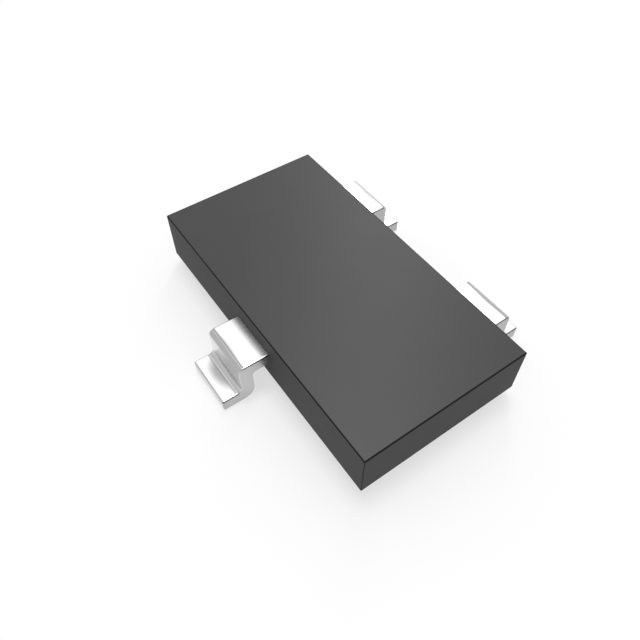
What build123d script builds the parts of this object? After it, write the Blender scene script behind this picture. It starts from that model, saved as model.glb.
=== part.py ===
from build123d import *
import os
from math import hypot, radians, tan

# Switching diode in a flat three-lead surface-mount case, in millimetres.
# X runs along the case, +Y points at the single cathode lead and +Z is up.
# The origin is on the board plane, under the middle of the case.

# Moulded case
body_length = 2.90
body_width = 1.533
body_height = 0.476
body_standoff = 0.116
parting_height = 0.235
edge_round = 0.006
ejector_mark_diameter = 0.50
ejector_mark_depth = 0.010

# Strip that all three leads are stamped and formed from
strip_thickness = 0.114
lead_width = 0.482
lead_pitch = 1.62
single_reach = 0.272
pair_reach = 0.300
foot_reach = 0.180
knee_outer_radius = 0.045
knee_inner_radius = 0.038
heel_inner_radius = 0.050
heel_outer_radius = 0.097

# Ends of the leads inside the case, with half-round notches that lock them in the moulding
paddle_length = 1.10
paddle_depth = 0.54
paddle_centre = 0.12
paddle_corner = 0.05
paddle_downset = 0.080
ramp_angle = 45.0
ramp_gap = 0.02
post_ear = 0.09
post_depth = 0.24
post_tip = 0.28
post_corner = 0.04
lock_notch_radius = 0.05
lock_notch_inset = 0.12

# Chip and what holds it
die_size = 0.30
die_thickness = 0.100
die_shift = -0.12
attach_margin = 0.030
attach_thickness = 0.012
attach_slope = 45.0
anode_pad_diameter = 0.13
anode_pad_height = 0.004

# Bond wire
wire_diameter = 0.025
ball_diameter = 0.076
ball_height = 0.016
neck_height = 0.010
loop_height = 0.080
loop_shoulder = 0.42
loop_droop = 0.012
loop_radius = 0.030
stitch_length = 0.090
stitch_width = 0.056
stitch_thickness = 0.010
stitch_inset = 0.10

# Heights above the board plane
strip_middle = body_standoff + parting_height
arm_top = strip_middle + strip_thickness / 2
arm_bottom = strip_middle - strip_thickness / 2
paddle_top = arm_top - paddle_downset
die_base = paddle_top + attach_thickness
die_top = die_base + die_thickness
pad_top = die_top + anode_pad_height

# Distances from the middle of the case
wall = body_width / 2
paddle_inner_edge = paddle_centre - paddle_depth / 2
paddle_outer_edge = paddle_centre + paddle_depth / 2
ramp_start = paddle_outer_edge + ramp_gap
ramp_end = ramp_start + paddle_downset / tan(radians(ramp_angle))
notch_place = wall - lock_notch_inset

# Each side has its own plane: across the case to that side, and up
single_side = Plane.YZ
pair_side = Plane(origin=(0, 0, 0), x_dir=(0, -1, 0), z_dir=(-1, 0, 0))

os.makedirs("parts", exist_ok=True)


def formed_strip(reach, inner_top, inner_bottom):
    """Side outline of a lead: its inner points, an arm out of the wall, a riser down and a foot."""
    riser = wall + reach
    tip = riser + foot_reach
    outline = [
        *inner_top,
        (riser, arm_top),
        (riser, strip_thickness),
        (tip, strip_thickness),
        (tip, 0),
        (riser - strip_thickness, 0),
        (riser - strip_thickness, arm_bottom),
        *inner_bottom,
    ]
    bends = [knee_outer_radius, heel_inner_radius, 0, 0, heel_outer_radius, knee_inner_radius]
    radii = [0] * len(inner_top) + bends + [0] * len(inner_bottom)
    with BuildLine() as edge:
        FilletPolyline(*outline, radius=radii, close=True)
    make_face(edge.line)


# Cathode lead: the paddle is set down by a ramp, so that the wire's loop stays covered
ramp_offset = strip_thickness * tan(radians(ramp_angle / 2))
with BuildPart() as cathode_lead:
    with BuildSketch(single_side):
        formed_strip(
            single_reach,
            [(paddle_inner_edge, paddle_top), (ramp_start, paddle_top), (ramp_end, arm_top)],
            [
                (ramp_end + ramp_offset, arm_bottom),
                (ramp_start + ramp_offset, paddle_top - strip_thickness),
                (paddle_inner_edge, paddle_top - strip_thickness),
            ],
        )
    extrude(amount=paddle_length / 2, both=True)
    with BuildSketch():
        with Locations((0, paddle_centre)):
            RectangleRounded(paddle_length, paddle_depth, paddle_corner)
        with Locations((0, paddle_centre)):
            Rectangle(lead_width, 2 * (wall + single_reach), align=(Align.CENTER, Align.MIN))
        with Locations((-lead_width / 2, notch_place), (lead_width / 2, notch_place)):
            Circle(lock_notch_radius, mode=Mode.SUBTRACT)
    extrude(amount=arm_top, mode=Mode.INTERSECT)
cathode_lead.part.label = "cathode_lead"
export_step(cathode_lead.part, "parts/cathode_lead.step")


# Anode lead and its unused twin: each ends inside in an eared post
post_width = lead_width + 2 * post_ear
pair_leads = {}
for lead_name, hand in (("anode_lead", -1), ("unused_lead", 1)):
    lead_x = hand * lead_pitch / 2
    with BuildPart() as pair_lead:
        with BuildSketch(pair_side):
            formed_strip(pair_reach, [(post_tip, arm_top)], [(post_tip, arm_bottom)])
        extrude(amount=lead_pitch, both=True)
        with BuildSketch():
            with Locations((lead_x, -post_tip)):
                Rectangle(lead_width, 2 * (wall + pair_reach), align=(Align.CENTER, Align.MAX))
            with Locations((lead_x, -post_tip - post_depth / 2)):
                RectangleRounded(post_width, post_depth, post_corner)
            left_edge = lead_x - lead_width / 2
            with Locations((left_edge, -notch_place), (left_edge + lead_width, -notch_place)):
                Circle(lock_notch_radius, mode=Mode.SUBTRACT)
        extrude(amount=arm_top, mode=Mode.INTERSECT)
    pair_lead.part.label = lead_name
    export_step(pair_lead.part, f"parts/{lead_name}.step")
    pair_leads[lead_name] = pair_lead.part


# Adhesive under the chip, squeezed out to a slope all round
with BuildPart() as die_attach:
    with BuildSketch(Plane((die_shift, paddle_centre, paddle_top))):
        Rectangle(die_size + 2 * attach_margin, die_size + 2 * attach_margin)
    extrude(amount=attach_thickness, taper=attach_slope)
die_attach.part.label = "die_attach"
export_step(die_attach.part, "parts/die_attach.step")


# Chip with its raised anode pad
with BuildPart() as silicon_die:
    with BuildSketch(Plane((die_shift, paddle_centre, die_base))):
        Rectangle(die_size, die_size)
    extrude(amount=die_thickness)
    with BuildSketch(Plane((die_shift, paddle_centre, die_top))):
        Circle(anode_pad_diameter / 2)
    extrude(amount=anode_pad_height)
silicon_die.part.label = "silicon_die"
export_step(silicon_die.part, "parts/silicon_die.step")


# Bond wire: a nail-head ball on the pad, a low loop and a stitch on the anode post
stitch_x = -lead_pitch / 2 + stitch_inset
stitch_y = -post_tip - post_depth / 2
run_x = stitch_x - die_shift
run_y = stitch_y - paddle_centre
run_length = hypot(run_x, run_y)
loop_plane = Plane(
    origin=(die_shift, paddle_centre, pad_top), x_dir=(run_x, run_y, 0), z_dir=(run_y, -run_x, 0)
)
wire_radius = wire_diameter / 2
ball_foot = ball_diameter / 2 - ball_height / 2
with BuildPart() as bond_wire:
    with BuildSketch(loop_plane):
        with BuildLine():
            Polyline((0, 0), (ball_foot, 0))
            ThreePointArc((ball_foot, 0), (ball_diameter / 2, ball_height / 2), (ball_foot, ball_height))
            Polyline(
                (ball_foot, ball_height),
                (wire_radius, ball_height + neck_height),
                (0, ball_height + neck_height),
                (0, 0),
            )
        make_face()
    revolve(axis=Axis((die_shift, paddle_centre, 0), (0, 0, 1)))
    with BuildLine(loop_plane) as loop:
        FilletPolyline(
            (0, ball_height),
            (0, loop_height),
            (loop_shoulder, loop_height - loop_droop),
            (run_length, arm_top - pad_top),
            radius=[loop_radius, loop_radius],
        )
    with BuildSketch(Plane((die_shift, paddle_centre, pad_top + ball_height))):
        Circle(wire_radius)
    sweep(path=loop.line)
    with BuildSketch(Plane(origin=(stitch_x, stitch_y, arm_top), x_dir=(run_x, run_y, 0))):
        Ellipse(stitch_length / 2, stitch_width / 2)
    extrude(amount=stitch_thickness)
    split(bisect_by=Plane.XY.offset(arm_top), keep=Keep.TOP)
bond_wire.part.label = "bond_wire"
export_step(bond_wire.part, "parts/bond_wire.step")


# Case, cast round everything that it holds
with BuildPart() as mould_body:
    with BuildSketch(Plane.XY.offset(body_standoff)):
        Rectangle(body_length, body_width)
    extrude(amount=body_height)
    fillet(mould_body.edges(), radius=edge_round)
    with BuildSketch(Plane.XY.offset(body_standoff)):
        Circle(ejector_mark_diameter / 2)
    extrude(amount=ejector_mark_depth, mode=Mode.SUBTRACT)
    held = [cathode_lead.part, *pair_leads.values(), die_attach.part, silicon_die.part, bond_wire.part]
    for piece in held:
        add(piece, mode=Mode.SUBTRACT)
mould_body.part.label = "mould_body"
export_step(mould_body.part, "parts/mould_body.step")
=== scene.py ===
import math

import bpy
import numpy as np
from bpy.props import FloatProperty, FloatVectorProperty, IntProperty, PointerProperty
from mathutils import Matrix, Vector


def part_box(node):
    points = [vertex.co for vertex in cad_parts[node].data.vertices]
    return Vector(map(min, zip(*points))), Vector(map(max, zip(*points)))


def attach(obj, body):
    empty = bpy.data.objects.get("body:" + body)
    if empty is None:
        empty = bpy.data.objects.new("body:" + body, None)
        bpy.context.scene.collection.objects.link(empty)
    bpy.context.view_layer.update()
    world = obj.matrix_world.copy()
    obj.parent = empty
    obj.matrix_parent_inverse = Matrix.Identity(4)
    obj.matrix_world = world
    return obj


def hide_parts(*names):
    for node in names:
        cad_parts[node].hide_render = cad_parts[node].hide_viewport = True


bl_info = {
    "name": "Switching Diode",
    "version": (1, 0, 0),
    "blender": (4, 5, 0),
    "location": "View3D > Sidebar > Diode",
    "description": "Finishes a three-lead surface-mount diode and sets it in a pale studio",
    "category": "Add Mesh",
}

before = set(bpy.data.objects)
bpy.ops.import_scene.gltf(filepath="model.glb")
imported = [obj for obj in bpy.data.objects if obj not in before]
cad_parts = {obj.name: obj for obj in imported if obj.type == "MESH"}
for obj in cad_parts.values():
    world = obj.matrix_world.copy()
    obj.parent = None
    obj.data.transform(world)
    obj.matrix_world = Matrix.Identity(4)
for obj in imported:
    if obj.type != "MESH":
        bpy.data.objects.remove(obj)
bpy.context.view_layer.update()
MM = 0.001
# How far from a bend or a corner the points lie that keep the face beside it flat
CLOSE = np.array([0.004, 0.010, 0.018]) * MM


def length(name, description, value):
    """A length property whose value is given in millimetres."""
    return FloatProperty(
        name=name, description=description, default=value * MM, min=0, unit="LENGTH", precision=6
    )


def angle(name, description, value):
    """An angle property whose value is given in degrees."""
    return FloatProperty(
        name=name, description=description, default=math.radians(value), subtype="ANGLE"
    )


def shade(name, description, value):
    """A colour property."""
    return FloatVectorProperty(
        name=name, description=description, default=value, size=3, min=0, max=1, subtype="COLOR"
    )


def share(name, description, value):
    """A property from 0 to 1."""
    return FloatProperty(
        name=name, description=description, default=value, min=0, max=1, subtype="FACTOR"
    )


class DiodeLeadSizes(bpy.types.PropertyGroup):
    """Sizes of the stamped and formed leads, beside those that the frame's boxes give."""

    lead_width: length("Lead width", "Width of a lead outside the case", 0.482)
    strip_thickness: length("Strip thickness", "Thickness of the strip", 0.114)
    foot_reach: length("Foot reach", "From the riser's outer face to the tip", 0.180)
    knee_outer: length("Knee, outside", "Radius of the upper bend's outer face", 0.045)
    knee_inner: length("Knee, inside", "Radius of the upper bend's inner face", 0.038)
    heel_inner: length("Heel, inside", "Radius of the lower bend's inner face", 0.050)
    heel_outer: length("Heel, outside", "Radius of the lower bend's outer face", 0.097)
    paddle_depth: length("Paddle depth", "Size of the chip's paddle across the case", 0.54)
    paddle_corner: length("Paddle corner", "Radius of the paddle's corners", 0.05)
    paddle_downset: length("Paddle downset", "How far the paddle lies below the arm", 0.080)
    ramp_gap: length("Ramp gap", "From the paddle's edge to its ramp", 0.02)
    ramp_bend: length("Ramp bend", "Radius of the bends above and below the ramp", 0.008)
    post_depth: length("Post depth", "Size of a bonding post across the case", 0.24)
    post_corner: length("Post corner", "Radius of a bonding post's corners", 0.04)
    notch_radius: length("Notch radius", "Radius of the notches that lock a lead in", 0.05)
    notch_inset: length("Notch inset", "From the case wall to the middle of a notch", 0.12)
    rolled_edge: length("Rolled edge", "Radius the punch leaves on the upper edges", 0.011)
    burr_edge: length("Burr edge", "Radius left on the lower edges", 0.003)
    bend_steps: IntProperty(
        name="Bend steps", description="Facets along each bend", default=16, min=4
    )


class DiodeFinishes(bpy.types.PropertyGroup):
    """Colours and gloss of the case, the metal and the chip."""

    mould: shade("Moulding", "Colour of the epoxy moulding compound", (0.039, 0.039, 0.039))
    # Painted shade: the colour of the dark line painted along the case's edges
    mould_edge_shade: shade("Moulding edge", "Colour of the case's sharp edges", (0.006, 0.006, 0.006))
    mould_roughness: share("Moulding roughness", "Roughness of the top and underside", 0.38)
    wall_roughness: share("Wall roughness", "Roughness of the case's walls", 0.67)
    mould_gloss: share("Moulding gloss", "Specular level of the moulded faces", 0.33)
    tin: shade("Tin", "Colour of the bright tin plating", (0.95, 0.95, 0.95))
    # Painted shade: a dark line where each bend starts and ends, and at the tip
    tin_crease_shade: shade("Tin crease", "Colour of the tin where a bend starts", (0.22, 0.22, 0.22))
    # Painted shade: a dark line along the rounded top edges of each lead
    tin_rim_shade: shade("Tin rim", "Colour of the tin along the punched edges", (0.10, 0.10, 0.10))
    # Partly duller sheared tin and partly painted shade: the colour of the punched side faces
    tin_cut_and_shade: shade("Tin on cuts", "Colour of the tin on the punched side faces", (0.58, 0.58, 0.58))
    # Painted light: upright faces, mostly the riser, a little lighter than the tin elsewhere
    tin_riser_light: shade("Tin on the riser", "Colour where the bending tool wiped", (0.97, 0.97, 0.97))
    # Painted shade: the colour of the tin on the sloping parts of the bends
    tin_bend_shade: shade("Tin on bends", "Colour of the tin that a bend stretched", (0.58, 0.58, 0.58))
    # Painted shade: the colour of the shade painted on the tin beside the heel and the knee
    tin_heel_shade: shade("Tin at the heel", "Colour where the forming tool pressed", (0.37, 0.37, 0.37))
    tin_roughness: share("Tin roughness", "Roughness of the plating", 0.27)
    adhesive: shade("Adhesive", "Colour of the silver-filled adhesive", (0.60, 0.60, 0.58))
    silicon: shade("Silicon", "Colour of the polished chip", (0.20, 0.20, 0.24))
    gold: shade("Gold", "Colour of the bond wire", (0.95, 0.70, 0.30))


class DiodeStudio(bpy.types.PropertyGroup):
    """Where the camera stands and how the studio is lit."""

    azimuth: angle("Azimuth", "Camera's turn round the diode", 234.91)
    elevation: angle("Elevation", "Camera's height above the horizon", 52.24)
    distance: length("Distance", "From the camera to the point it aims at", 5.1156)
    aim: FloatVectorProperty(
        name="Aim", description="Point in the middle of the picture",
        default=(-0.1513 * MM, 0.2140 * MM, 0.35 * MM), size=3, unit="LENGTH", precision=6,
    )
    lens: FloatProperty(
        name="Lens", description="Focal length on a 36 mm sensor", default=34.80, unit="CAMERA"
    )
    floor_radius: length("Floor radius", "Radius of the floor", 80)
    floor_shade: shade("Floor", "Colour of the floor", (0.94, 0.94, 0.94))
    floor_white: share("Floor white", "How much of the floor is seen as plain white", 0.60)
    fill: share("Fill", "Share of a level surface's light that comes from all round", 0.64)
    dim_sides: share("Dim sides", "How much dimmer the studio's sides look in reflections", 0.27)
    softbox: share("Softbox", "Share of a level surface's light that the softbox gives", 0.34)
    softbox_azimuth: angle("Softbox azimuth", "Softbox's turn round the diode", 55)
    softbox_elevation: angle("Softbox elevation", "Softbox's height above the horizon", 83)
    softbox_radius: length("Softbox radius", "Radius of the softbox", 6)
    tall_light: FloatProperty(
        name="Tall light", description="Strength of the tall light that puts a sheen on the case",
        default=5.0, min=0,
    )
    tall_azimuth: angle("Tall light azimuth", "Tall light's turn round the diode", 45)
    tall_elevation: angle("Tall light elevation", "Tall light's height above the horizon", 50)
    tall_width: length("Tall light width", "Width of the tall light", 6)
    tall_height: length("Tall light height", "Height of the tall light", 30)
    lamp_distance: length("Lamp distance", "From each lamp to the diode", 40)


class Socket:
    """A node's output that takes part in sums: each operator adds one Math node, and | takes the
    larger of two."""

    def __init__(self, nodes, output):
        self.nodes = nodes
        self.output = output

    def maths(self, operation, first, second, clamp=False):
        settings = {"operation": operation, "use_clamp": clamp}
        return self.nodes.add("ShaderNodeMath", settings, {0: first, 1: second})

    def __add__(self, other):
        return self.maths("ADD", self, other)

    __radd__ = __add__

    def __sub__(self, other):
        return self.maths("SUBTRACT", self, other)

    def __rsub__(self, other):
        return self.maths("SUBTRACT", other, self)

    def __mul__(self, other):
        return self.maths("MULTIPLY", self, other)

    __rmul__ = __mul__

    def __truediv__(self, other):
        return self.maths("DIVIDE", self, other)

    def __rtruediv__(self, other):
        return self.maths("DIVIDE", other, self)

    def __abs__(self):
        return self.maths("ABSOLUTE", self, 0)

    def __or__(self, other):
        return self.maths("MAXIMUM", self, other)

    __ror__ = __or__

    def clamped(self):
        return self.maths("ADD", self, 0, clamp=True)


class Nodes:
    """A node tree that is written as expressions."""

    def __init__(self, tree):
        self.tree = tree
        tree.nodes.clear()

    def add(self, kind, settings=None, sockets=None, output=0):
        """Adds a node, makes its settings, then gives each socket, by name or number, its value or
        link."""
        node = self.tree.nodes.new(kind)
        for name, value in (settings or {}).items():
            setattr(node, name, value)
        for key, value in (sockets or {}).items():
            if isinstance(value, Socket):
                self.tree.links.new(value.output, node.inputs[key])
            else:
                node.inputs[key].default_value = value
        return Socket(self, node.outputs[output]) if node.outputs else None

    def split(self, vector):
        """The three numbers of a vector."""
        first = self.add("ShaderNodeSeparateXYZ", {}, {"Vector": vector})
        return [Socket(self, output) for output in first.output.node.outputs]

    def mix(self, factor, first, second):
        """The first colour at factor 0 and the second at factor 1."""
        settings = {"data_type": "RGBA", "clamp_factor": True}
        return self.add("ShaderNodeMix", settings, {0: factor, 6: first, 7: second}, output=2)

    def ray(self, kind):
        """1 for a ray of that kind, and otherwise 0."""
        return self.add("ShaderNodeLightPath", output=f"Is {kind} Ray")

    def seen(self):
        """1 for what the camera sees, straight, in metal or through glass, and 0 for light."""
        return self.ray("Camera") | self.ray("Glossy") | self.ray("Transmission")

    def dim(self, tint, strength):
        """A colour times a number."""
        return self.add(
            "ShaderNodeVectorMath", {"operation": "SCALE"}, {0: tint, "Scale": strength}
        )

    def from_middle(self, place, middle):
        """A place as measured from another."""
        return self.add("ShaderNodeVectorMath", {"operation": "SUBTRACT"}, {0: place, 1: middle})

    def distance(self, place):
        """How far a place is from the origin."""
        return self.add("ShaderNodeVectorMath", {"operation": "LENGTH"}, {0: place}, output="Value")


class Finish(Nodes):
    """A material whose patterns are laid out in the diode's own metres."""

    def __init__(self, name):
        self.material = bpy.data.materials.new(name)
        self.material.use_nodes = True
        super().__init__(self.material.node_tree)
        self.place = self.add("ShaderNodeTexCoord", output="Object")

    def clouds(self, size, detail=2.0, longer=(1, 1, 1)):
        """Noise from 0 to 1 with blobs about size metres across, drawn out longer along each axis."""
        scale = [1 / (size * stretch) for stretch in longer]
        spot = self.add("ShaderNodeMapping", {}, {"Vector": self.place, "Scale": scale})
        return self.add("ShaderNodeTexNoise", {}, {"Vector": spot, "Scale": 1.0, "Detail": detail})

    def mask(self, name):
        """A number that the mesh carries at each of its points."""
        return self.add("ShaderNodeAttribute", {"attribute_name": name}, output="Fac")

    def relief(self, height, depth):
        """Normal of a surface that rises by depth metres where height is 1."""
        return self.add("ShaderNodeBump", {}, {"Strength": 1.0, "Distance": depth, "Height": height})

    def done(self, **sockets):
        """Ends the material in a Principled shader, with its sockets by name."""
        named = {name.replace("_", " "): value for name, value in sockets.items()}
        shader = self.add("ShaderNodeBsdfPrincipled", {}, named)
        self.add("ShaderNodeOutputMaterial", {}, {"Surface": shader})
        return self.material


def opaque(tint, strength=1.0):
    """A colour as four numbers."""
    return (*(part * strength for part in tint), 1.0)


def mould_compound(finishes):
    """Black epoxy: matte faces with a fine moulded grain, faint clouds of filler, and painted shade
    along the edges.

    A dark line of painted shade shows where a place lies within edge_band of two faces' planes at once,
    most on the end walls' edges and least on the upright ones. The walls are rougher than the level
    faces, which lie within level_band of the top's plane or the underside's.
    """
    # Width of the painted edge shade, and how dark it is on the end walls' edges, the long walls' and
    # the upright corners'
    edge_band = 0.013 * MM
    end_strength = 3.0
    side_strength = 1.8
    corner_strength = 1.1
    level_band = 0.004 * MM
    grain_size = 0.010 * MM
    grain_depth = 0.0005 * MM
    grain_tone = 0.08
    filler_size = 0.35 * MM
    filler_tone = 0.12
    filler_roughness = 0.08
    plain_tone = 0.90

    low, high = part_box("mould_body")
    middle = (low + high) / 2
    half = (high - low) / 2
    finish = Finish("mould_compound")
    offset = finish.split(finish.from_middle(finish.place, middle))
    near_x, near_y, near_z = (
        ((abs(part) - (reach - edge_band)) / edge_band).clamped()
        for part, reach in zip(offset, half)
    )
    # Painted shade along the edges: darkest on the end walls' edges, then the long walls' and the
    # upright corners'
    level_edge_shade = (near_x * end_strength | near_y * side_strength) * near_z
    edge = (level_edge_shade | (near_x * near_y * corner_strength)).clamped()
    grain = finish.clouds(grain_size)
    filler = finish.clouds(filler_size, detail=4.0)
    level = ((abs(offset[2]) - (half[2] - level_band)) / level_band).clamped()
    smoothing = (finishes.wall_roughness - finishes.mould_roughness) * level
    roughness = finishes.wall_roughness - smoothing + filler_roughness * (filler - 0.5)
    tone = plain_tone + filler_tone * filler + grain_tone * grain
    return finish.done(
        Base_Color=finish.mix(
            edge, finish.dim(tuple(finishes.mould), tone), opaque(finishes.mould_edge_shade)
        ),
        Roughness=roughness | edge,
        Specular_IOR_Level=finishes.mould_gloss,
        Normal=finish.relief(grain, grain_depth),
    )


def tinned_strip(finishes):
    """Bright tin: fine lines across the lead from forming, soft clouds, and painted shade on bends and
    edges.

    The painted shade beside the heel and the knee is shade_strength * (1 - across^2 - reach^2),
    from 0 to 1, where across is counted from shade_shift in shares of shade_width.
    """
    # Painted shade beside the heel and the knee: its width across the lead, its shift and its strength
    shade_width = 0.215 * MM
    shade_shift = 0.015 * MM
    shade_strength = 1.15
    print_roughness = 0.10
    line_size = 0.006 * MM
    line_stretch = 60
    line_depth = 0.00006 * MM
    cloud_size = 0.10 * MM
    cloud_tone = 0.97
    cloud_roughness = 0.05

    finish = Finish("tinned_strip")
    drawn = finish.clouds(line_size, longer=(line_stretch, 1, 1))
    cloud = finish.clouds(cloud_size, detail=3.0)
    # Painted shade beside the heel and the knee, held in the pressed mask, darkest at the bend
    across = (finish.mask("across") - shade_shift) / shade_width
    reach = finish.mask("shade_reach")
    pressed = (shade_strength * (1 - across * across - reach * reach)).clamped()
    tone = finish.mix(cloud, opaque(finishes.tin), opaque(finishes.tin, cloud_tone))
    # Partly duller sheared tin and partly painted shade on the punched side faces
    tone = finish.mix(finish.mask("cut"), tone, opaque(finishes.tin_cut_and_shade))
    # Painted light: the wiped mask makes upright faces a little lighter
    tone = finish.mix(finish.mask("wiped"), tone, opaque(finishes.tin_riser_light))
    # Painted shade on the bends
    tone = finish.mix(finish.mask("bent"), tone, opaque(finishes.tin_bend_shade))
    # Painted shade beside the heel and the knee
    tone = finish.mix(pressed, tone, opaque(finishes.tin_heel_shade))
    # Painted shade where each bend starts and ends, and at the tip
    tone = finish.mix(finish.mask("crease"), tone, opaque(finishes.tin_crease_shade))
    roughness = finishes.tin_roughness + cloud_roughness * (cloud - 0.5) + print_roughness * pressed
    return finish.done(
        # Painted shade: a dark line along the rounded top edges
        Base_Color=finish.mix(finish.mask("rim"), tone, opaque(finishes.tin_rim_shade)),
        Metallic=1.0,
        Roughness=roughness,
        Normal=finish.relief(drawn, line_depth),
    )


def inner_finish(name, tint, metallic, roughness, grain_size, grain_depth):
    """A sealed piece's finish: its tone clouded a little, over a fine grain."""
    grain_tone = 0.8
    grain_roughness = 0.1
    finish = Finish(name)
    grain = finish.clouds(grain_size)
    return finish.done(
        Base_Color=finish.mix(grain, opaque(tint), opaque(tint, grain_tone)),
        Metallic=metallic,
        Roughness=roughness + grain_roughness * (grain - 0.5),
        Normal=finish.relief(grain, grain_depth),
    )


def plain_stations(places, half):
    """Stations at places along a lead, with the lead's half width and a section that isn't shrunk."""
    return np.column_stack([places, np.full(len(places), half), np.zeros(len(places))])


def head_stations(start, end, head_width, half, corner, steps=6):
    """Stations along a lead's wide inner head.

    The head is a rectangle with round corners: corner * (1 - cos a) in from its ends, it is
    corner * (1 - sin a) short of its full half width. It ends in a steep shoulder to the neck.
    """
    shoulder = 0.001 * MM
    turn = np.linspace(0, math.pi / 2, steps + 1)
    along = corner * (1 - np.cos(turn))
    wide = head_width / 2 - corner * (1 - np.sin(turn))
    stations = plain_stations(
        np.concatenate([start + along, (end - shoulder - along)[::-1], [end]]), half
    )
    stations[:-1, 1] = np.concatenate([wide, wide[::-1]])
    return stations


def notch_stations(middle, radius, half, steps=12):
    """Stations along a half-round notch in both edges: at middle - radius * cos a, the half width
    is short by radius * sin a."""
    turn = np.linspace(0, math.pi, steps + 1)
    stations = plain_stations(middle - radius * np.cos(turn), half)
    stations[:, 1] -= radius * np.sin(turn)
    return stations


def tip_stations(tip, half, radius, steps=3):
    """Stations that round a tip.

    They are radius * (1 - sin a) short of the face's edge, where the section shrinks by
    radius * (1 - cos a), after points at CLOSE distances that keep the foot flat. The last one is
    the flat of the tip's face, face_margin in from that edge and face_crown beyond it.
    """
    face_margin = 0.008 * MM
    face_crown = 0.0005 * MM
    turn = np.linspace(0, math.pi / 2, steps + 1)
    short = np.concatenate([radius + CLOSE[::-1], radius * (1 - np.sin(turn))]) + face_crown
    stations = plain_stations(np.append(tip - short, tip), half)
    stations[len(CLOSE):-1, 2] = radius * (1 - np.cos(turn))
    stations[-1, 2] = radius + face_margin
    return stations


def formed_line(corners, radii, runs, half, steps):
    """One face's line along a formed strip, and where its bends start and end.

    Each point is a distance, a height, the strip's half width and its section's shrink. Straight runs
    with their own level stations join the corners. An arc at a corner touches both its runs at
    radius * tan(turn / 2) from it, and its points are the touching point turned about the arc's
    centre by even steps. Points at CLOSE distances from each bend keep the runs flat.
    """
    corners = np.array(corners, float)
    gaps = np.diff(corners, axis=0)
    ways = gaps / np.linalg.norm(gaps, axis=1)[:, None]
    lefts = np.column_stack([-ways[:, 1], ways[:, 0]])
    turns = np.arctan2((lefts[:-1] * ways[1:]).sum(1), (ways[:-1] * ways[1:]).sum(1))
    touches = np.array(radii) * np.tan(np.abs(turns) / 2)
    points, bends = [], []

    def place(spots):
        """Adds points where the strip has its own width and isn't shrunk."""
        points.append(np.column_stack([spots, np.tile([half, 0], (len(spots), 1))]))

    for number, (run, way) in enumerate(zip(runs, ways)):
        if number:
            place(corners[number] + way * (touches[number - 1] + CLOSE[:, None]))
        points.append(np.insert(run, 1, corners[number, 1], axis=1))
        if number < len(turns):
            touch = corners[number + 1] - way * touches[number]
            centre = touch + lefts[number] * radii[number] * np.sign(turns[number])
            turned = np.linspace(0, turns[number], steps + 1)[:, None]
            spoke = touch - centre
            sideways = np.array([-spoke[1], spoke[0]])
            place(touch - way * CLOSE[::-1, None])
            bends.append(sum(map(len, points)) + np.array([0, steps]))
            place(centre + spoke * np.cos(turned) + sideways * np.sin(turned))
    return np.vstack(points), np.concatenate(bends)


def strip_section(roll, burr, steps=4):
    """The section of the strip, once round: for each point its side, how far in from that side it is,
    its level (1 top, 0 bottom), how far in from that level it is, and how much of the rim (painted
    shade), of the top and of the cut side it shows.

    A corner is a quarter circle: radius * (1 - cos a) in from the side and radius * (1 - sin a) in
    from the level. A point just further on keeps each flat flat. The rim, where a dark line of shade
    is painted, is the top corners' lower half, rim_strength - rim_fall * (share of the turn), from 0 to
    1.
    """
    # Painted rim shade: how strong it starts and how fast it fades round the corner
    rim_strength = 2.4
    rim_fall = 2.8
    turn = np.linspace(0, math.pi / 2, steps + 1)
    blocks = []
    for side, level, radius in ((1, 1, roll), (-1, 1, roll), (-1, 0, burr), (1, 0, burr)):
        from_side = np.concatenate([[0], radius * (1 - np.cos(turn)), [radius + CLOSE[0]]])
        from_level = np.concatenate([[radius + CLOSE[0]], radius * (1 - np.sin(turn)), [0]])
        rim = np.clip(rim_strength - rim_fall * turn / turn[-1], 0, 1)
        rim = level * np.concatenate([[0], rim, [0]])
        flat = np.concatenate([[0], np.sin(turn) ** 2, [1]])
        ones = np.ones(len(rim))
        block = np.column_stack([
            side * ones, from_side, level * ones, from_level, rim, level * flat, 1 - flat
        ])
        blocks.append(block if side * (2 * level - 1) > 0 else block[::-1])
    return np.vstack(blocks)


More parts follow.
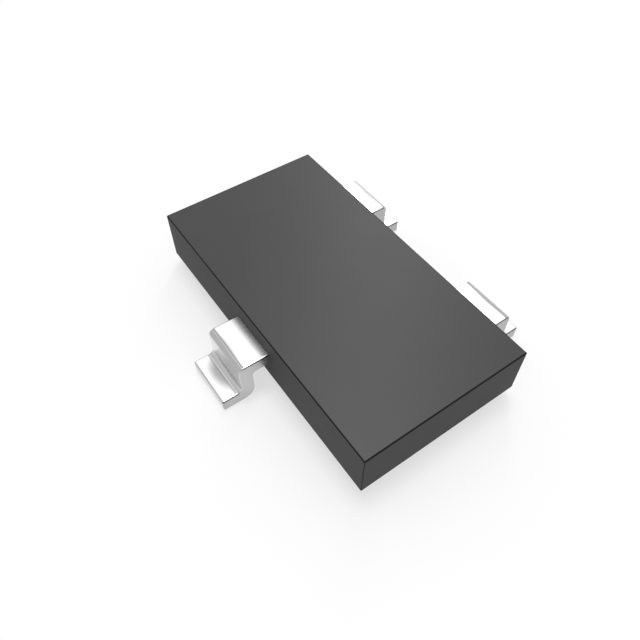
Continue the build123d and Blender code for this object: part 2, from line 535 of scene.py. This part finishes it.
def wear_masks(line, bends, section, across):
    """Masks over a lead's stations and its section: painted shade and light on the tin, and its cut
    sides.

    The crease mask, painted shade, falls off as exp(-(distance / crease_reach)^2) from each end of a
    bend and from the tip. It is weaker at the heel and the tip, and where the face stands upright. With
    c the cosine of the face's slope, the wiped mask, painted light, is 1 - c^3, the rim mask, painted
    shade, fades as c^8, and the bent mask, painted shade, is bent_gain c^2 (1 - c^2), up to 1, times c
    from the riser's middle on. The reach of the painted shade beside the heel and the knee counts up
    from 0 at the heel along the foot, and from arm_start at the knee along the arm, and it is no_shade
    elsewhere. The last station, on the tip's face, has no crease, rim or cut.
    """
    crease_reach = 0.008 * MM
    heel_crease = 0.7
    tip_crease = 0.6
    upright_crease = 0.45
    bent_gain = 10
    # How far the painted shade reaches along the foot from the heel and along the arm from the knee
    foot_shade_reach = 0.108 * MM
    arm_shade_reach = 0.050 * MM
    arm_start = 0.3
    no_shade = 2

    level, rim, top, cut = section[:, [2, 4, 5, 6]].T
    run = np.append(0, np.linalg.norm(np.diff(line, axis=0), axis=1).cumsum())
    way = np.gradient(line, axis=0)
    slope = np.abs(way[:, 0] / np.linalg.norm(way, axis=1))
    marked = np.arange(len(run)) < len(run) - 1
    knee, heel = run[bends[-4]], run[bends[-1]]

    away = run[:, None] - run[[*bends, -1]]
    strengths = [*np.ones(len(bends) - 2), heel_crease, heel_crease, tip_crease]
    # Painted shade at the ends of each bend and at the tip, weaker at the heel, the tip and on upright
    # faces
    crease = (np.exp(-((away / crease_reach) ** 2)) * strengths).max(1) * marked
    crease *= upright_crease + (1 - upright_crease) * slope
    # Painted shade on the bends, strongest where the face slopes at 45 degrees
    bent = np.clip(bent_gain * slope ** 2 * (1 - slope ** 2), 0, 1)
    bent *= np.where(2 * run > knee + heel, slope, 1)
    # Reach of the painted shade beside the heel and the knee
    on_foot, on_arm = (run - heel) / foot_shade_reach, arm_start + (knee - run) / arm_shade_reach
    reach = np.where(run >= heel, on_foot, np.where(run <= knee, on_arm, no_shade))
    return {
        "crease": np.outer(crease, top),
        "rim": np.outer(slope ** 8 * marked, rim),
        "cut": np.outer(marked, cut),
        # Painted light on upright faces
        "wiped": np.outer(1 - slope ** 3, top),
        "bent": np.outer(bent, top),
        "across": across,
        "shade_reach": np.where(level > 0, reach[:, None], no_shade),
    }


def sweep_strip(node, upper, lower, bends, sizes, middle_x, hand):
    """A formed strip: its section carried along the line of its upper face and that of its lower one.

    A point of the section lies on the upper or lower line's point, moved towards the other by its
    inset, and across by its side's half width less its inset. The last stations shrink the section,
    so that the tip is rounded too. Each end is closed by a fan of triangles round its middle.
    """
    sharp_angle = math.radians(40)
    section = strip_section(sizes.rolled_edge, sizes.burr_edge)
    side, from_side, level, from_level = section[:, :4].T
    half, shrink = upper[:, 2, None], upper[:, 3, None]
    upper, lower = upper[:, :2], lower[:, :2]
    through = lower - upper
    through /= np.linalg.norm(through, axis=1)[:, None]
    base = np.where(level[:, None] > 0, upper[:, None], lower[:, None])
    inset = (from_level + shrink) * np.sign(level - 0.5)
    spot = base + through[:, None] * inset[:, :, None]
    across = side * (half - from_side - shrink)
    rings = np.stack([middle_x + hand * across, hand * spot[:, :, 0], spot[:, :, 1]], axis=2)
    hubs = rings[[0, -1]].mean(axis=1)

    rows, columns = across.shape
    first = np.arange(rows - 1)[:, None] * columns + np.arange(columns)
    after = np.arange(rows - 1)[:, None] * columns + (np.arange(columns) + 1) % columns
    quads = np.stack([first, first + columns, after + columns, after], axis=2).reshape(-1, 4)
    inner_hub, tip_hub = np.full((2, columns), rows * columns) + [[0], [1]]
    inner_fan = np.column_stack([first[0], after[0], inner_hub])
    tip_fan = np.column_stack([after[-1] + columns, first[-1] + columns, tip_hub])
    mesh = bpy.data.meshes.new(node + "_formed")
    mesh.from_pydata(
        np.vstack([rings.reshape(-1, 3), hubs]).tolist(),
        [],
        [*quads.tolist(), *inner_fan.tolist(), *tip_fan.tolist()],
    )
    mesh.shade_smooth()
    mesh.set_sharp_from_angle(angle=sharp_angle)

    for name, values in wear_masks(upper, bends, section, across).items():
        shown = np.append(values.ravel(), values[[0, -1]].mean(axis=1)).astype(np.float32)
        mesh.attributes.new(name, "FLOAT", "POINT").data.foreach_set("value", shown)
    piece = bpy.data.objects.new(node + "_formed", mesh)
    bpy.context.scene.collection.objects.link(piece)
    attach(piece, "root")
    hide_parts(node)
    return piece


def form_lead(node, sizes):
    """Forms one lead between the corners that its node's box and the case's give.

    The ramp rises at ramp_angle, and its lower corners lie thickness * tan(ramp_angle / 2) further out.
    """
    ramp_angle = math.radians(45)
    low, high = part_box(node)
    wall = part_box("mould_body")[1].y
    hand = 1 if high.y > -low.y else -1
    inner, tip = (low.y, high.y) if hand > 0 else (-high.y, -low.y)
    thick = sizes.strip_thickness
    arm_top, arm_bottom = high.z, high.z - thick
    riser = tip - sizes.foot_reach
    half = sizes.lead_width / 2
    head_width = high.x - low.x
    no_stations = np.empty((0, 3))

    upper_corners = [(riser, arm_top), (riser, thick), (tip, thick)]
    lower_corners = [(riser - thick, arm_bottom), (riser - thick, 0), (tip, 0)]
    upper_radii = [sizes.knee_outer, sizes.heel_inner]
    lower_radii = [sizes.knee_inner, sizes.heel_outer]
    arm = np.vstack([
        notch_stations(wall - sizes.notch_inset, sizes.notch_radius, half),
        plain_stations([wall], half),
    ])
    foot = tip_stations(tip, half, sizes.rolled_edge)
    if hand > 0:
        paddle_end = inner + sizes.paddle_depth
        paddle_top = arm_top - sizes.paddle_downset
        ramp_start = paddle_end + sizes.ramp_gap
        ramp_end = ramp_start + sizes.paddle_downset / math.tan(ramp_angle)
        offset = thick * math.tan(ramp_angle / 2)
        upper_corners = [
            (inner, paddle_top),
            (ramp_start, paddle_top),
            (ramp_end, arm_top),
            *upper_corners,
        ]
        lower_corners = [
            (inner, paddle_top - thick),
            (ramp_start + offset, paddle_top - thick),
            (ramp_end + offset, arm_bottom),
            *lower_corners,
        ]
        upper_radii = [sizes.ramp_bend, sizes.ramp_bend, *upper_radii]
        lower_radii = [sizes.ramp_bend, sizes.ramp_bend, *lower_radii]
        head = head_stations(inner, paddle_end, head_width, half, sizes.paddle_corner)
        runs = [head, no_stations, arm, no_stations, foot]
    else:
        upper_corners = [(inner, arm_top), *upper_corners]
        lower_corners = [(inner, arm_bottom), *lower_corners]
        post_end = inner + sizes.post_depth
        head = head_stations(inner, post_end, head_width, half, sizes.post_corner)
        runs = [np.vstack([head, arm]), no_stations, foot]
    upper, bends = formed_line(upper_corners, upper_radii, runs, half, sizes.bend_steps)
    lower, _ = formed_line(lower_corners, lower_radii, runs, half, sizes.bend_steps)
    return sweep_strip(node, upper, lower, bends, sizes, (low.x + high.x) / 2, hand)


class DIODE_OT_finish_case(bpy.types.Operator):
    """Gives the moulded case its matte black epoxy"""

    bl_idname = "diode.finish_case"
    bl_label = "Finish Case"

    def execute(self, context):
        paint("mould_body", mould_compound(context.scene.diode_finishes))
        return {"FINISHED"}


class DIODE_OT_form_leads(bpy.types.Operator):
    """Forms the three tinned leads, with smooth bends and rolled edges"""

    bl_idname = "diode.form_leads"
    bl_label = "Form Leads"

    def execute(self, context):
        tin = tinned_strip(context.scene.diode_finishes)
        for node in ("cathode_lead", "anode_lead", "unused_lead"):
            form_lead(node, context.scene.diode_lead_sizes).data.materials.append(tin)
        return {"FINISHED"}


class DIODE_OT_finish_adhesive(bpy.types.Operator):
    """Gives the layer under the chip its silver-filled epoxy"""

    bl_idname = "diode.finish_adhesive"
    bl_label = "Finish Adhesive"

    def execute(self, context):
        paint("die_attach", inner_finish(
            "silver_adhesive", context.scene.diode_finishes.adhesive,
            metallic=0.3, roughness=0.5, grain_size=0.004 * MM, grain_depth=0.0006 * MM,
        ))
        return {"FINISHED"}


class DIODE_OT_finish_chip(bpy.types.Operator):
    """Gives the chip its polished silicon"""

    bl_idname = "diode.finish_chip"
    bl_label = "Finish Chip"

    def execute(self, context):
        paint("silicon_die", inner_finish(
            "silicon", context.scene.diode_finishes.silicon,
            metallic=0.2, roughness=0.18, grain_size=0.05 * MM, grain_depth=0.00002 * MM,
        ))
        return {"FINISHED"}


class DIODE_OT_finish_wire(bpy.types.Operator):
    """Gives the bond wire its drawn gold"""

    bl_idname = "diode.finish_wire"
    bl_label = "Finish Wire"

    def execute(self, context):
        paint("bond_wire", inner_finish(
            "gold", context.scene.diode_finishes.gold,
            metallic=1.0, roughness=0.22, grain_size=0.006 * MM, grain_depth=0.00005 * MM,
        ))
        return {"FINISHED"}


class DIODE_OT_set_studio(bpy.types.Operator):
    """Lays the floor, and sets the camera, the two lamps and the light from all round"""

    bl_idname = "diode.set_studio"
    bl_label = "Set Studio"

    def execute(self, context):
        studio = context.scene.diode_studio
        lay_floor(studio)
        stand_camera(studio)
        hang_softbox(studio)
        hang_tall_light(studio)
        light_world(studio)
        context.scene.view_settings.view_transform = "Standard"
        return {"FINISHED"}


class DIODE_PT_sidebar(bpy.types.Panel):
    """Lists the diode's operators and values in the sidebar"""

    bl_label = "Diode"
    bl_idname = "DIODE_PT_sidebar"
    bl_space_type = "VIEW_3D"
    bl_region_type = "UI"
    bl_category = "Diode"

    def draw(self, context):
        layout = self.layout
        for operator in OPERATORS:
            layout.operator(operator.bl_idname)
        for name, group in GROUPS.items():
            box = layout.box()
            for value in group.__annotations__:
                box.prop(getattr(context.scene, name), value)


def paint(node, material):
    """Puts a material on every face of a node."""
    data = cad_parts[node].data
    data.materials.clear()
    data.materials.append(material)


def direction(azimuth, elevation):
    """The way from the diode to a place round it: (sin a cos e, -cos a cos e, sin e)."""
    return Vector((
        math.sin(azimuth) * math.cos(elevation),
        -math.cos(azimuth) * math.cos(elevation),
        math.sin(elevation),
    ))


def stand(name, data, target, back, distance):
    """Adds a camera or lamp that looks at target from distance along back."""
    thing = bpy.data.objects.new(name, data)
    thing.location = target + back * distance
    thing.rotation_euler = (-back).to_track_quat("-Z", "Y").to_euler()
    bpy.context.scene.collection.objects.link(thing)
    return thing


def lay_floor(studio):
    """A flat disc just under the feet: points at even angles, (r cos a, r sin a)."""
    drop = 0.001 * MM
    sides = 96
    turn = np.linspace(0, 2 * math.pi, sides, endpoint=False)
    ring = np.column_stack([np.cos(turn), np.sin(turn), 0 * turn]) * studio.floor_radius
    mesh = bpy.data.meshes.new("floor")
    mesh.from_pydata((ring - (0, 0, drop)).tolist(), [], [list(range(sides))])
    mesh.materials.append(floor_paper(studio))
    floor = bpy.data.objects.new("floor", mesh)
    bpy.context.scene.collection.objects.link(floor)


def floor_paper(studio):
    """Pale paper that keeps the shadow, and is partly plain white to the camera and in reflections.

    It turns all white further out. In reflections it is dimmed from dim_start on, on both sides of
    the case, and end_shift further out past the case's -X end.
    """
    dim_start = 0.95 * MM
    dim_width = 0.25 * MM
    end_shift = 0.50 * MM
    white_start = 2.5 * MM
    white_width = 6.0 * MM
    grain_size = 0.8 * MM
    grain_tone = 0.99
    paper_roughness = 0.9

    finish = Finish("floor_paper")
    grain = finish.clouds(grain_size)
    tint = tuple(studio.floor_shade)
    paper = finish.add("ShaderNodeBsdfPrincipled", {}, {
        "Base Color": finish.mix(grain, opaque(tint), opaque(tint, grain_tone)),
        "Roughness": paper_roughness,
    })
    along, across, _ = finish.split(finish.place)
    out = abs(across) | (-end_shift - along)
    dimmed = ((out - dim_start) / dim_width).clamped() * finish.ray("Glossy")
    white = finish.add("ShaderNodeEmission", {}, {
        "Color": finish.dim((1, 1, 1), 1 - studio.dim_sides * dimmed), "Strength": 1.0
    })
    far = ((finish.distance(finish.place) - white_start) / white_width).clamped()
    whiteness = (finish.seen() * (far | studio.floor_white)) | dimmed
    shown = finish.add("ShaderNodeMixShader", {}, {0: whiteness, 1: paper, 2: white})
    finish.add("ShaderNodeOutputMaterial", {}, {"Surface": shown})
    finish.material.cycles.emission_sampling = "NONE"
    return finish.material


def stand_camera(studio):
    """The camera at the photograph's angle."""
    data = bpy.data.cameras.new("camera")
    data.lens = studio.lens
    data.clip_start = 0.1 * MM
    data.clip_end = 1000 * MM
    back = direction(studio.azimuth, studio.elevation)
    bpy.context.scene.camera = stand("camera", data, Vector(studio.aim), back, studio.distance)


def hang_softbox(studio):
    """A round softbox that gives a level surface its share of light.

    A disc of radius r at distance d lights a surface that faces it like a sky of strength
    r^2 / (r^2 + d^2), and its power is pi^2 r^2 for each unit of its own strength.
    """
    data = bpy.data.lights.new("softbox", "AREA")
    data.shape = "DISK"
    data.size = 2 * studio.softbox_radius
    reach = studio.softbox_radius ** 2 + studio.lamp_distance ** 2
    data.energy = studio.softbox * math.pi ** 2 * reach / math.sin(studio.softbox_elevation)
    back = direction(studio.softbox_azimuth, studio.softbox_elevation)
    stand("softbox", data, Vector((0, 0, 0)), back, studio.lamp_distance)


def hang_tall_light(studio):
    """A tall, narrow softbox over the pair of leads: its power is pi times its area for each unit of
    its own strength."""
    data = bpy.data.lights.new("tall_light", "AREA")
    data.shape = "RECTANGLE"
    data.size = studio.tall_width
    data.size_y = studio.tall_height
    data.energy = studio.tall_light * math.pi * studio.tall_width * studio.tall_height
    back = direction(studio.tall_azimuth, studio.tall_elevation)
    stand("tall_light", data, Vector((0, 0, 0)), back, studio.lamp_distance)


def light_world(studio):
    """White where it is seen, straight or in metal, and a dimmer fill where it lights matte faces.

    Metal sees a bright arch over the pair of leads, and a dimmer studio in front of it and behind it,
    so that its bends show. The arch lies round arch_place, counted from 0 overhead to 1 at the front.
    """
    arch_place = -0.38
    arch_half = 0.23
    arch_fade = 0.38
    world = bpy.data.worlds.new("studio")
    world.use_nodes = True
    bpy.context.scene.world = world
    nodes = Nodes(world.node_tree)
    toward = nodes.split(nodes.add("ShaderNodeTexCoord", output="Generated"))[1]
    off_arch = ((abs(toward - arch_place) - arch_half) / arch_fade).clamped()
    level = (
        studio.fill + (1 - studio.fill) * nodes.seen()
        - studio.dim_sides * off_arch * nodes.ray("Glossy")
    )
    sky = nodes.add("ShaderNodeBackground", {}, {"Color": (1, 1, 1, 1), "Strength": level})
    nodes.add("ShaderNodeOutputWorld", {}, {"Surface": sky})
    world.cycles.sampling_method = "NONE"


OPERATORS = (
    DIODE_OT_finish_case,
    DIODE_OT_form_leads,
    DIODE_OT_finish_adhesive,
    DIODE_OT_finish_chip,
    DIODE_OT_finish_wire,
    DIODE_OT_set_studio,
)
GROUPS = {
    "diode_lead_sizes": DiodeLeadSizes,
    "diode_finishes": DiodeFinishes,
    "diode_studio": DiodeStudio,
}


def register():
    for cls in (*GROUPS.values(), *OPERATORS, DIODE_PT_sidebar):
        bpy.utils.register_class(cls)
    for name, group in GROUPS.items():
        setattr(bpy.types.Scene, name, PointerProperty(type=group))


def unregister():
    for name in GROUPS:
        delattr(bpy.types.Scene, name)
    for cls in (DIODE_PT_sidebar, *reversed(OPERATORS), *reversed(GROUPS.values())):
        bpy.utils.unregister_class(cls)


def main():
    register()
    bpy.ops.diode.finish_case()
    bpy.ops.diode.form_leads()
    bpy.ops.diode.finish_adhesive()
    bpy.ops.diode.finish_chip()
    bpy.ops.diode.finish_wire()
    bpy.ops.diode.set_studio()


if __name__ == "__main__":
    main()
